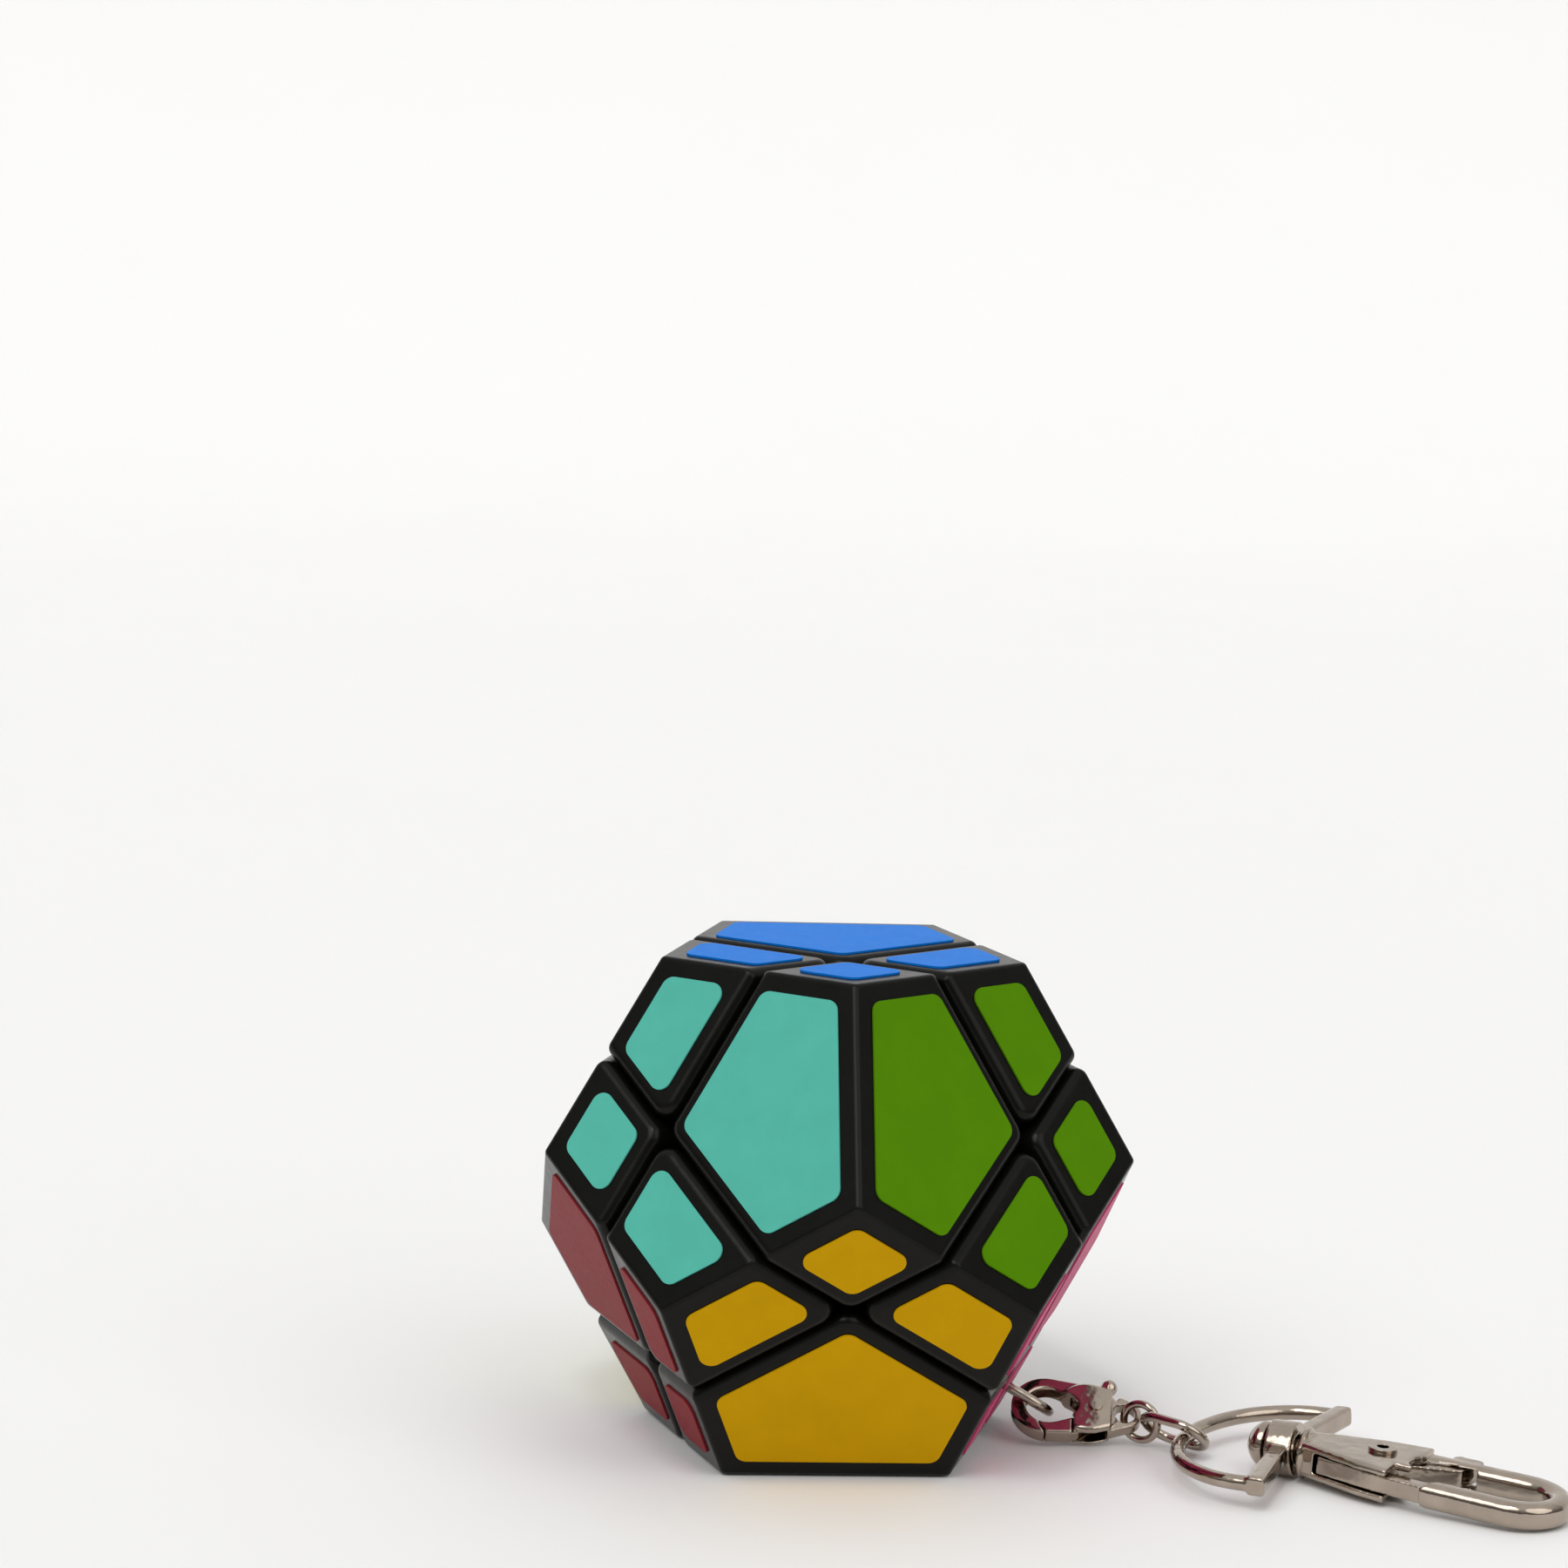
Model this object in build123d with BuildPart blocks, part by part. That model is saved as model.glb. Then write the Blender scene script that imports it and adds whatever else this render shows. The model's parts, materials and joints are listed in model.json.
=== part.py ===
"""Dodecahedron twisty puzzle with a keychain: four turning axes, fourteen pieces and a snap hook."""

import os
from math import atan2, cos, hypot, radians, sin, sqrt

from build123d import *

os.makedirs("parts", exist_ok=True)

# Overall size, in millimetres
FLAT_TO_FLAT = 40.0
HALF_HEIGHT = FLAT_TO_FLAT / 2
GOLDEN = (1 + sqrt(5)) / 2
TILT = sqrt(GOLDEN**2 + 1)
UNIT = HALF_HEIGHT * TILT / GOLDEN**2

# Stickers
STICKER_MARGIN = 1.55
STICKER_ROUND = 1.0
STICKER_THICKNESS = 0.15

# Fourteen moving pieces
CUT_GAP = 0.1
INNER_R = 7.9
SPLIT_R = 13.5
TONGUE_IN_R = 9.6
TONGUE_OUT_R = 11.9
TONGUE_RISE = 2.2
TONGUE_ROOT = 1.0
GROOVE_GAP = 0.12
WALL = 1.4
SEAT_GAP = 0.02
JUNCTION_ROUND = 1.5
CUT_ROUND = 0.9
EDGE_ROUND = 0.45
PLUG_GAP = 0.05
PLUG_HEIGHT = 1.2
PLUG_WALL = 1.0

# Core, screws, washers and springs
CORE_R = 5.2
ARM_R = 2.4
ARM_END = 7.5
HUB_FLOOR = 9.2
SCREW_R = 1.0
SCREW_HOLE_R = 1.15
SCREW_DEPTH = 3.2
WELL_R = 2.2
HEAD_R = 1.7
HEAD_BOTTOM = 11.9
HEAD_TOP = 13.1
SLOT_ARM = 1.0
SLOT_WIDTH = 0.4
SLOT_DEPTH = 0.6
WASHER_THICKNESS = 0.25
SPRING_R = 1.55
SPRING_WIRE_R = 0.17
SPRING_COILS = 3.5

# Keychain eyelet: a wire loop through the pink face of one corner
EYELET_WIRE_R = 0.42
EYELET_HALF_WIDTH = 1.75
EYELET_REACH = 4.0
EYELET_DEPTH = 2.3
EYELET_FOOT = 1.1
EYELET_HOLE_R = 0.46

# Lobster clasp, drawn flat with its loop's centre at the origin and its tail along +X
CLASP_LOOP_OUT_R = 2.95
CLASP_LOOP_IN_R = 1.75
CLASP_LOOP_THICKNESS = 1.4
CLASP_LOOP_ROUND = 0.3
CLASP_LOOP_END = (1.35, 1.2)
CLASP_BODY_X = 3.3
CLASP_BODY_R = 2.6
CLASP_BODY_THICKNESS = 2.1
CLASP_BODY_ROUND = 0.5
CLASP_EYE_X = 6.3
CLASP_EYE_R = 1.4
CLASP_EYE_HOLE_R = 0.92
CLASP_EYE_THICKNESS = 1.0
CLASP_EYE_START = 5.2
CLASP_LIMIT = 3.5
CLASP_END = 9.0
CLASP_PIVOT = (3.9, 0.2)
CLASP_PIN_R = 0.4
CLASP_PIN_HEAD_R = 0.6
CLASP_PIN_HEAD = 0.15
CLASP_SLOT = 1.1
CLASP_SLOT_NEAR = ((1.9, -3.3), (1.9, 1.35), (5.0, 1.35), (5.0, -3.3))
CLASP_SLOT_FAR = ((3.34, 0.4), (4.6, 3.8), (6.9, 3.0), (4.4, -0.2))
LEVER_TIP = (-0.35, -2.35)
LEVER_REACH = hypot(CLASP_PIVOT[0] - LEVER_TIP[0], CLASP_PIVOT[1] - LEVER_TIP[1])
LEVER_EDGE = -1.0
LEVER_THICK_END = 2.1
LEVER_THICKNESS = 1.0
LEVER_HUB_R = 0.95
LEVER_HOLE_R = 0.45
LEVER_GAP = 0.1
LEVER_ELBOW = (2.2, -2.1, 0.55)
LEVER_TAB = (4.95, 3.0)
LEVER_ARM_R = 0.5
LEVER_TAB_R = 0.7
LEVER_SPRING_R = 0.68
LEVER_SPRING_WIRE_R = 0.09
LEVER_SPRING_PITCH = 0.2
LEVER_SPRING_HEIGHT = 0.32

# Jump ring and oval link
RING_R = 1.5
RING_WIRE_R = 0.33
LINK_LENGTH = 5.5
LINK_WIDTH = 3.6
LINK_WIRE_R = 0.4

# D-ring, drawn flat with its bar's middle at the origin and its bow along -X
D_WIRE_R = 0.62
D_HALF_WIDTH = 9.9
D_ARM = 1.6
D_BOW = 8.0
D_BAR_WIDTH = 1.5
D_BAR_HEIGHT = 1.6
D_BOSS_X = -1.3
D_BAR_ROUND = 0.3
D_BOSS_R = 2.2
D_BOSS_LENGTH = 2.2

# Snap hook, drawn flat with the D-ring's bar at the origin and its bow along +X
STEM_R = 1.0
STEM_GAP = 0.2
RIVET_HEAD_R = 1.8
RIVET_HEAD_START = 1.42
RIVET_HEAD_SHOULDER = 2.0
RIVET_HEAD_END = 3.1
RIVET_DOME = (-2.75, 1.1)
FLANGE_R = 2.1
FLANGE_ROUND = 0.25
FLANGE_START = 1.48
FLANGE_END = 2.1
HOOK_THICKNESS = 2.8
HOOK_NECK_X = 1.9
HOOK_NECK_HALF = 1.9
HOOK_NECK_ROUND = 0.4
HOOK_LIMIT = 9.0
HOOK_BODY_R = 3.6
HOOK_BODY_X = 8.0
BOW_THICKNESS = 2.1
BOW_ROUND = 0.75
BOW_START = (11.0, 4.1)
BOW_FINISH = (19.1, 4.3)
BOW_OPENING_START = (12.6, 2.2)
BOW_OPENING_END = (19.1, 2.4)
HOOK_EDGE_ROUND = 0.35
GATE_PIVOT = (7.8, 0.7)
GATE_REACH = 6.56
GATE_GAP = 0.12
GATE_THICKNESS = 1.4
GATE_SLOT = 1.6
GATE_SLOT_NEAR = ((3.1, -5.5), (3.1, 1.2), (6.3, 2.4), (10.0, 2.4), (15.0, -1.0), (15.0, -5.5))
GATE_SLOT_FAR = ((6.8, 1.2), (10.2, 6.0), (15.1, 6.0), (15.1, 1.5), (9.0, 0.0))
GATE_MOUTH = ((9.6, -5.5), (9.6, -1.7), (15.0, -1.7), (15.0, -5.5))
GATE_BAR = ((3.5, -2.35), (8.0, -3.4), (14.5, -4.1), (14.5, -2.65), (8.2, -2.0), (3.5, -1.15))
GATE_WEB = ((6.4, -2.6), (6.6, 0.7), (9.1, 0.7), (9.5, -2.4))
GATE_HUB_R = 1.5
GATE_ARM = ((8.2, 0.7, 0.9), (13.4, 2.5, 0.7))
GATE_TAB = ((13.4, 2.6, 0.7), (13.0, 4.9, 0.65), (14.2, 4.9, 0.65))
GATE_HOLE_R = 0.8
PIVOT_PIN_R = 0.75
PIVOT_HOLE_R = 0.5
PIVOT_HEAD_R = 1.15
PIVOT_HEAD = 0.3
GATE_SPRING_R = 1.05
GATE_SPRING_WIRE_R = 0.11
GATE_SPRING_PITCH = 0.25
GATE_SPRING_HEIGHT = 0.42

# A direction that lies along none of the turning axes
SIDEWAYS = Vector(0.31, 0.52, 0.79)

CUT_AXES = {"a": (1, 1, 1), "b": (1, -1, -1), "c": (-1, 1, -1), "d": (-1, -1, 1)}
CORNERS = {
    "a": (1, 1, 1),
    "b": (1, -1, -1),
    "c": (-1, 1, -1),
    "d": (-1, -1, 1),
    "e": (-1, -1, -1),
    "f": (-1, 1, 1),
    "g": (1, -1, 1),
    "h": (1, 1, -1),
}
CENTRES = {
    "front": (0, 0, 1),
    "back": (0, 0, -1),
    "right": (1, 0, 0),
    "left": (-1, 0, 0),
    "top": (0, 1, 0),
    "bottom": (0, -1, 0),
}


def place(point):
    """The place in the part of a point given on the puzzle's own cube axes, in units of half a cube."""
    x, y, z = point
    return Vector(
        UNIT * x,
        UNIT * (y - GOLDEN * z) / TILT,
        UNIT * (GOLDEN * y + z) / TILT + HALF_HEIGHT + STICKER_THICKNESS,
    )


MIDDLE = place((0, 0, 0))


def toward(point):
    """The unit direction from the puzzle's middle to a point on its own cube axes."""
    return (place(point) - MIDDLE).normalized()


def side_of(point, axis):
    """The side of a cut that a point lies on, as 1, -1 or 0."""
    height = sum(p * a for p, a in zip(point, axis))
    return (height > 0.001) - (height < -0.001)


def cut_plane(seat, axis, offset):
    """The plane of one cut, facing into the side that the piece is on, moved in by the offset."""
    inward = toward(axis) * side_of(seat, axis)
    return Plane(origin=MIDDLE + inward * offset, z_dir=inward)


def face_normals():
    """The twelve faces' directions on the cube axes."""
    normals = []
    for one in (1, -1):
        for two in (GOLDEN, -GOLDEN):
            normals += [(one, 0, two), (two, one, 0), (0, two, one)]
    return normals


def dodecahedron(half_height):
    """A dodecahedron whose faces lie at this distance from the middle."""
    size = 4 * half_height
    with BuildPart() as body:
        with Locations(Plane(origin=MIDDLE)):
            Box(size, size, size)
        for normal in face_normals():
            outward = toward(normal)
            with Locations(Plane(origin=MIDDLE + outward * half_height, z_dir=-outward)):
                Box(size, size, size, align=(Align.CENTER, Align.CENTER, Align.MIN), mode=Mode.INTERSECT)
    return body.part


def ring_band(axis, inner, outer, low, high):
    """A band about a turning axis, between two spheres and between two heights along the axis."""
    along = toward(axis)
    across = along.cross(SIDEWAYS).normalized()
    with BuildPart() as band:
        with BuildSketch(Plane(origin=MIDDLE, x_dir=across, z_dir=across.cross(along))):
            Circle(outer)
            Circle(inner, mode=Mode.SUBTRACT)
            with Locations((outer, (low + high) / 2)):
                Rectangle(2 * outer, high - low, mode=Mode.INTERSECT)
        revolve(axis=Axis(MIDDLE, along))
    return band.part


def tongue(seat, name):
    """The tongue that a piece pushes under its neighbour across one cut."""
    axis = CUT_AXES[name]
    span = 3 * SPLIT_R
    with BuildPart() as rib:
        add(ring_band(axis, TONGUE_IN_R, TONGUE_OUT_R, -TONGUE_ROOT, TONGUE_RISE))
        for other, direction in CUT_AXES.items():
            if other != name:
                with Locations(cut_plane(seat, direction, CUT_GAP)):
                    Box(span, span, span, align=(Align.CENTER, Align.CENTER, Align.MIN), mode=Mode.INTERSECT)
    return rib.part


def wedge(seat, body, offset):
    """The part of a body that lies inside one piece's four cuts."""
    span = 6 * SPLIT_R
    with BuildPart() as share:
        add(body)
        for axis in CUT_AXES.values():
            with Locations(cut_plane(seat, axis, offset)):
                Box(span, span, span, align=(Align.CENTER, Align.CENTER, Align.MIN), mode=Mode.INTERSECT)
    return share.part


def hollow_ball(inner, outer):
    """A ball about the middle with a round hollow."""
    with BuildPart() as ball:
        with Locations(MIDDLE):
            Sphere(outer)
            Sphere(inner, mode=Mode.SUBTRACT)
    return ball.part


def foot(label, seat, fixed):
    """The inner half of a piece: tongues, grooves, plug and, on a fixed corner, a screw well."""
    ribs = [
        tongue(seat, name)
        for name, axis in CUT_AXES.items()
        if side_of(seat, axis) < 0 and abs(toward(axis).dot(toward(seat))) < 0.99
    ]
    groove_in, groove_out = TONGUE_IN_R - GROOVE_GAP, TONGUE_OUT_R + GROOVE_GAP
    grooves = [
        ring_band(axis, groove_in, groove_out, -TONGUE_ROOT, TONGUE_RISE + GROOVE_GAP)
        for axis in CUT_AXES.values()
        if side_of(seat, axis) > 0
    ]
    block = wedge(seat, hollow_ball(INNER_R, SPLIT_R), CUT_GAP)
    plug = wedge(seat, hollow_ball(SPLIT_R - PLUG_WALL, SPLIT_R + PLUG_HEIGHT), CUT_GAP + WALL + PLUG_GAP)
    along = toward(seat)
    with BuildPart() as body:
        add(block)
        add(plug)
        for rib in ribs:
            add(rib)
        for groove in grooves:
            add(groove, mode=Mode.SUBTRACT)
        if fixed:
            with Locations(Plane(origin=MIDDLE + along * (ARM_END + PLUG_GAP), z_dir=along)):
                Cylinder(ARM_R, HUB_FLOOR - ARM_END, align=(Align.CENTER, Align.CENTER, Align.MIN))
                Cylinder(
                    SCREW_HOLE_R, SPLIT_R, align=(Align.CENTER, Align.CENTER, Align.MIN), mode=Mode.SUBTRACT
                )
            with Locations(Plane(origin=MIDDLE + along * HUB_FLOOR, z_dir=along)):
                Cylinder(WELL_R, SPLIT_R, align=(Align.CENTER, Align.CENTER, Align.MIN), mode=Mode.SUBTRACT)
    body.part.label = label
    export_step(body.part, f"parts/{label}.step")
    return body.part


def is_radial(edge):
    """Whether an edge points straight out from the middle."""
    if edge.geom_type != GeomType.LINE:
        return False
    reach = (edge.center() - MIDDLE).normalized()
    return abs((edge % 0.5).dot(reach)) > 0.9999


def on_outside(face, half_height):
    """Whether a face is one of the dodecahedron's own flats."""
    if face.geom_type != GeomType.PLANE:
        return False
    return abs((face.center() - MIDDLE).dot(face.normal_at()) - half_height) < 0.01


def shares(edge, faces):
    """How many of these faces an edge borders."""
    return sum(edge in face.edges() for face in faces)


def cap(label, seat, solid, hollow, holes):
    """The outer shell of a piece, with rounded edges and a hollow that its foot's plug closes."""
    outside = wedge(seat, solid, CUT_GAP)
    space = wedge(seat, hollow, CUT_GAP + WALL)
    with BuildPart() as body:
        add(outside)
        with Locations(MIDDLE):
            Sphere(SPLIT_R, mode=Mode.SUBTRACT)
        fillet(body.edges().filter_by(is_radial), JUNCTION_ROUND)
        flats = body.faces().filter_by(lambda face: on_outside(face, HALF_HEIGHT))
        fillet([edge for edge in flats.edges() if shares(edge, flats) == 1], CUT_ROUND)
        flats = body.faces().filter_by(lambda face: on_outside(face, HALF_HEIGHT))
        fillet([edge for edge in flats.edges() if shares(edge, flats) == 2], EDGE_ROUND)
        add(space, mode=Mode.SUBTRACT)
        for hole in holes:
            add(hole, mode=Mode.SUBTRACT)
    body.part.label = label
    export_step(body.part, f"parts/{label}.step")
    return body.part


def signature(point):
    """The side of each of the four cuts that a point lies on."""
    return tuple(side_of(point, axis) for axis in CUT_AXES.values())


def vertices():
    """The twenty vertices of the dodecahedron on the cube axes."""
    short = 1 / GOLDEN
    points = list(CORNERS.values())
    for one in (short, -short):
        for two in (GOLDEN, -GOLDEN):
            points += [(0, one, two), (one, two, 0), (two, 0, one)]
    return points


def between(one, two):
    """The middle of two points."""
    return tuple((a + b) / 2 for a, b in zip(one, two))


def face_plane(normal):
    """The plane of one face, with its origin where the face's two cuts cross."""
    crossing = tuple((value > 0) - (value < 0) for value in normal)
    return Plane(origin=place(crossing), z_dir=toward(normal))


def outline(seat, normal):
    """The corners of the part of one face that a piece carries, or an empty list."""
    plane = face_plane(normal)
    corners = [v for v in vertices() if sum(a * b for a, b in zip(v, normal)) > GOLDEN**2 - 0.001]
    local = {v: plane.to_local_coords(place(v)) for v in corners}
    corners.sort(key=lambda v: atan2(local[v].Y, local[v].X))
    own = [signature(v) == signature(seat) for v in corners]
    if not any(own):
        return []
    first = next(i for i in range(5) if own[i] and not own[i - 1])
    run = [corners[(first + i) % 5] for i in range(sum(own))]
    points = [between(corners[first - 1], run[0]), *run, between(run[-1], corners[(first + len(run)) % 5])]
    flat = [plane.to_local_coords(place(point)) for point in points]
    return [(point.X, point.Y) for point in flat] + [(0, 0)]


def stickers(label, seat, holes):
    """The stickers of one piece, one on each face that it carries."""
    with BuildPart() as body:
        for normal in face_normals():
            corners = outline(seat, normal)
            if corners:
                with BuildSketch(face_plane(normal)) as patch:
                    with BuildLine():
                        Polyline(*corners, close=True)
                    make_face()
                    offset(amount=-STICKER_MARGIN, kind=Kind.INTERSECTION, mode=Mode.REPLACE)
                    fillet(patch.vertices(), STICKER_ROUND)
                extrude(amount=STICKER_THICKNESS)
        for hole in holes:
            add(hole, mode=Mode.SUBTRACT)
    body.part.label = label
    export_step(body.part, f"parts/{label}.step")


def arm_plane(axis, distance):
    """The plane square to a turning axis at this distance from the middle."""
    along = toward(axis)
    return Plane(origin=MIDDLE + along * distance, z_dir=along)


UPRIGHT = (Align.CENTER, Align.CENTER, Align.MIN)


def core():
    """The ball in the middle with four arms, each with a hole for its screw."""
    with BuildPart() as body:
        with Locations(arm_plane(CUT_AXES["a"], 0)):
            Sphere(CORE_R)
        for axis in CUT_AXES.values():
            with Locations(arm_plane(axis, 0)):
                Cylinder(ARM_R, ARM_END, align=UPRIGHT)
        for axis in CUT_AXES.values():
            with Locations(arm_plane(axis, SCREW_DEPTH)):
                Cylinder(SCREW_R, ARM_END, align=UPRIGHT, mode=Mode.SUBTRACT)
    body.part.label = "core_spider"
    export_step(body.part, "parts/core_spider.step")


def axis_screws():
    """The four screws that hold the fixed corners to the core."""
    head = HEAD_TOP - HEAD_BOTTOM
    with BuildPart() as body:
        for axis in CUT_AXES.values():
            with Locations(arm_plane(axis, SCREW_DEPTH)):
                Cylinder(SCREW_R, HEAD_TOP - SCREW_DEPTH, align=UPRIGHT)
            with Locations(arm_plane(axis, HEAD_BOTTOM)):
                Cylinder(HEAD_R, head, align=UPRIGHT)
            with Locations(arm_plane(axis, HEAD_TOP - SLOT_DEPTH)):
                Box(2 * SLOT_ARM, SLOT_WIDTH, head, align=UPRIGHT, mode=Mode.SUBTRACT)
                Box(SLOT_WIDTH, 2 * SLOT_ARM, head, align=UPRIGHT, mode=Mode.SUBTRACT)
    body.part.label = "axis_screws"
    export_step(body.part, "parts/axis_screws.step")


def axis_washers():
    """The four washers under the screw heads."""
    with BuildPart() as body:
        for axis in CUT_AXES.values():
            with Locations(arm_plane(axis, HEAD_BOTTOM - WASHER_THICKNESS)):
                Cylinder(HEAD_R + SPRING_WIRE_R, WASHER_THICKNESS, align=UPRIGHT)
                Cylinder(SCREW_R, WASHER_THICKNESS, align=UPRIGHT, mode=Mode.SUBTRACT)
    body.part.label = "axis_washers"
    export_step(body.part, "parts/axis_washers.step")


def axis_springs():
    """The four springs that press the fixed corners onto the core."""
    low = HUB_FLOOR + SPRING_WIRE_R + SEAT_GAP
    high = HEAD_BOTTOM - WASHER_THICKNESS - SPRING_WIRE_R - SEAT_GAP
    pitch = (high - low) / SPRING_COILS
    with BuildPart() as body:
        for axis in CUT_AXES.values():
            along = toward(axis)
            with BuildLine() as coil:
                Helix(pitch, high - low, SPRING_R, center=MIDDLE + along * low, direction=along)
            with BuildSketch(Plane(origin=coil.line @ 0, z_dir=coil.line % 0)):
                Circle(SPRING_WIRE_R)
            sweep(path=coil.line, is_frenet=True)
    body.part.label = "axis_springs"
    export_step(body.part, "parts/axis_springs.step")


def aimed(origin, yaw, pitch, roll):
    """A plane at a point whose X axis is turned by yaw, raised by pitch and rolled about itself."""
    turned, raised, rolled = radians(yaw), radians(pitch), radians(roll)
    along = Vector(cos(raised) * cos(turned), cos(raised) * sin(turned), sin(raised))
    level = Vector(-sin(turned), cos(turned), 0)
    upward = along.cross(level)
    return Plane(origin=origin, x_dir=along, z_dir=upward * cos(rolled) - level * sin(rolled))


# Places of the keychain's pieces in the part
PINK = (GOLDEN, -1, 0)
EYELET_AROUND = (
    (1, -1, -1),
    (1, -1, 0),
    between((1, -1, -1), (GOLDEN, 0, -1 / GOLDEN)),
    between((1, -1, -1), (1 / GOLDEN, -GOLDEN, 0)),
)
EYELET_SEAT = sum((place(point) for point in EYELET_AROUND), Vector()) / len(EYELET_AROUND)
EYELET_OUT = toward(PINK)
EYELET_TWIST = -20.0
EYELET_LEVEL = Vector(0, 0, 1).cross(EYELET_OUT).normalized()
EYELET_SIDE = EYELET_LEVEL.rotate(Axis((0, 0, 0), EYELET_OUT), EYELET_TWIST)
EYELET_PLANE = Plane(origin=EYELET_SEAT, x_dir=EYELET_OUT, z_dir=EYELET_OUT.cross(EYELET_SIDE))
RING_PLAY = 0.25
LINK_PLAY = 0.45
RING_YAW, RING_ROLL = -34.0, 0.0
CLASP_YAW, CLASP_PITCH, CLASP_ROLL = -8.0, -3.0, 32.0
CLASP_HOLD = 1.6
CLASP_BITE = 148.0
LINK_YAW, LINK_PITCH, LINK_ROLL = -42.0, -2.0, -42.0
HOOK_YAW, HOOK_PITCH, HOOK_ROLL = -31.5, -2.8, 0.0
D_YAW, D_PITCH, D_ROLL = -31.0, 2.5, 1.0
CLASP_CENTRELINE = (CLASP_LOOP_OUT_R + CLASP_LOOP_IN_R) / 2


def clasp_plane():
    """The clasp's own plane: its loop passes through the eyelet at the bite angle."""
    hold = EYELET_PLANE.origin + EYELET_OUT * CLASP_HOLD
    tilt = aimed(hold, CLASP_YAW, CLASP_PITCH, CLASP_ROLL)
    bite = radians(CLASP_BITE)
    shift = tilt.x_dir * (CLASP_CENTRELINE * cos(bite)) + tilt.y_dir * (CLASP_CENTRELINE * sin(bite))
    return Plane(origin=hold - shift, x_dir=tilt.x_dir, z_dir=tilt.z_dir)


CLASP = clasp_plane()
CLASP_EYE = CLASP.origin + CLASP.x_dir * CLASP_EYE_X
RING_TILT = aimed(CLASP_EYE, RING_YAW, CLASP_PITCH, RING_ROLL)
RING_CENTRE = CLASP_EYE + RING_TILT.x_dir * RING_R
RING = Plane(origin=RING_CENTRE, x_dir=RING_TILT.x_dir, z_dir=RING_TILT.z_dir)
LINK_START = RING_CENTRE + RING.x_dir * (RING_R - RING_WIRE_R - LINK_WIRE_R - RING_PLAY)
LINK_TILT = aimed(LINK_START, LINK_YAW, LINK_PITCH, LINK_ROLL)
LINK_MIDDLE = LINK_START + LINK_TILT.x_dir * (LINK_LENGTH / 2)
LINK = Plane(origin=LINK_MIDDLE, x_dir=LINK_TILT.x_dir, z_dir=LINK_TILT.z_dir)
D_APEX = LINK_START + LINK.x_dir * (LINK_LENGTH - LINK_WIRE_R - D_WIRE_R - LINK_PLAY)
D_TILT = aimed(D_APEX, D_YAW, D_PITCH, D_ROLL)
D_BAR_MIDDLE = D_APEX + D_TILT.x_dir * (D_ARM + D_BOW)
D_RING = Plane(origin=D_BAR_MIDDLE, x_dir=D_TILT.x_dir, z_dir=D_TILT.z_dir)
D_BOSS_MIDDLE = D_RING.origin + D_RING.x_dir * D_BOSS_X
HOOK = aimed(D_BOSS_MIDDLE, HOOK_YAW, HOOK_PITCH, HOOK_ROLL)


def local_plane(frame, x, y, z, normal):
    """A plane at a point of a local frame, facing along one of the frame's own axes."""
    origin = frame.origin + frame.x_dir * x + frame.y_dir * y + frame.z_dir * z
    axes = {"x": (frame.x_dir, frame.y_dir), "y": (frame.y_dir, frame.z_dir), "z": (frame.z_dir, frame.x_dir)}
    facing, across = axes[normal]
    return Plane(origin=origin, x_dir=across, z_dir=facing)


def eyelet_holes():
    """The two holes for the eyelet's legs."""
    with BuildPart() as body:
        for side in (1, -1):
            seat = local_plane(EYELET_PLANE, -EYELET_DEPTH, side * EYELET_HALF_WIDTH, 0, "x")
            with Locations(seat):
                Cylinder(EYELET_HOLE_R, 2 * EYELET_DEPTH, align=UPRIGHT)
    return body.part


def eyelet():
    """The wire eyelet with its legs bent over inside the corner's shell."""
    turn = EYELET_REACH - EYELET_HALF_WIDTH
    with BuildPart() as body:
        with BuildLine(EYELET_PLANE) as path:
            lower = Line((-EYELET_DEPTH, -EYELET_HALF_WIDTH), (turn, -EYELET_HALF_WIDTH))
            bend = ThreePointArc(lower @ 1, (EYELET_REACH, 0), (turn, EYELET_HALF_WIDTH))
            Line(bend @ 1, (-EYELET_DEPTH, EYELET_HALF_WIDTH))
        with BuildSketch(Plane(origin=path.line @ 0, z_dir=path.line % 0)):
            Circle(EYELET_WIRE_R)
        sweep(path=path.line)
        for side in (1, -1):
            with Locations(local_plane(EYELET_PLANE, -EYELET_DEPTH, side * EYELET_HALF_WIDTH, 0, "x")):
                Sphere(EYELET_WIRE_R)
            foot_middle = side * (EYELET_HALF_WIDTH + EYELET_FOOT / 2)
            with Locations(local_plane(EYELET_PLANE, -EYELET_DEPTH, foot_middle, 0, "y")):
                Cylinder(EYELET_WIRE_R, EYELET_FOOT)
    body.part.label = "keychain_eyelet"
    export_step(body.part, "parts/keychain_eyelet.step")


def discs_hull(frame, low, discs, thickness):
    """A plate whose outline wraps round discs given as X, Y and radius in a local frame."""
    with BuildPart() as plate:
        with BuildSketch(local_plane(frame, 0, 0, low, "z")):
            for x, y, radius in discs:
                with Locations((x, y)):
                    Circle(radius)
            make_hull()
        extrude(amount=thickness)
    return plate.part


def plate(frame, low, corners, thickness):
    """A plate with straight edges in a local frame."""
    with BuildPart() as flat:
        with BuildSketch(local_plane(frame, 0, 0, low, "z")):
            with BuildLine():
                Polyline(*corners, close=True)
            make_face()
        extrude(amount=thickness)
    return flat.part


def disc(frame, x, y, radius, low, thickness):
    """A round plate in a local frame."""
    with BuildPart() as flat:
        with Locations(local_plane(frame, x, y, low, "z")):
            Cylinder(radius, thickness, align=UPRIGHT)
    return flat.part


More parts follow.
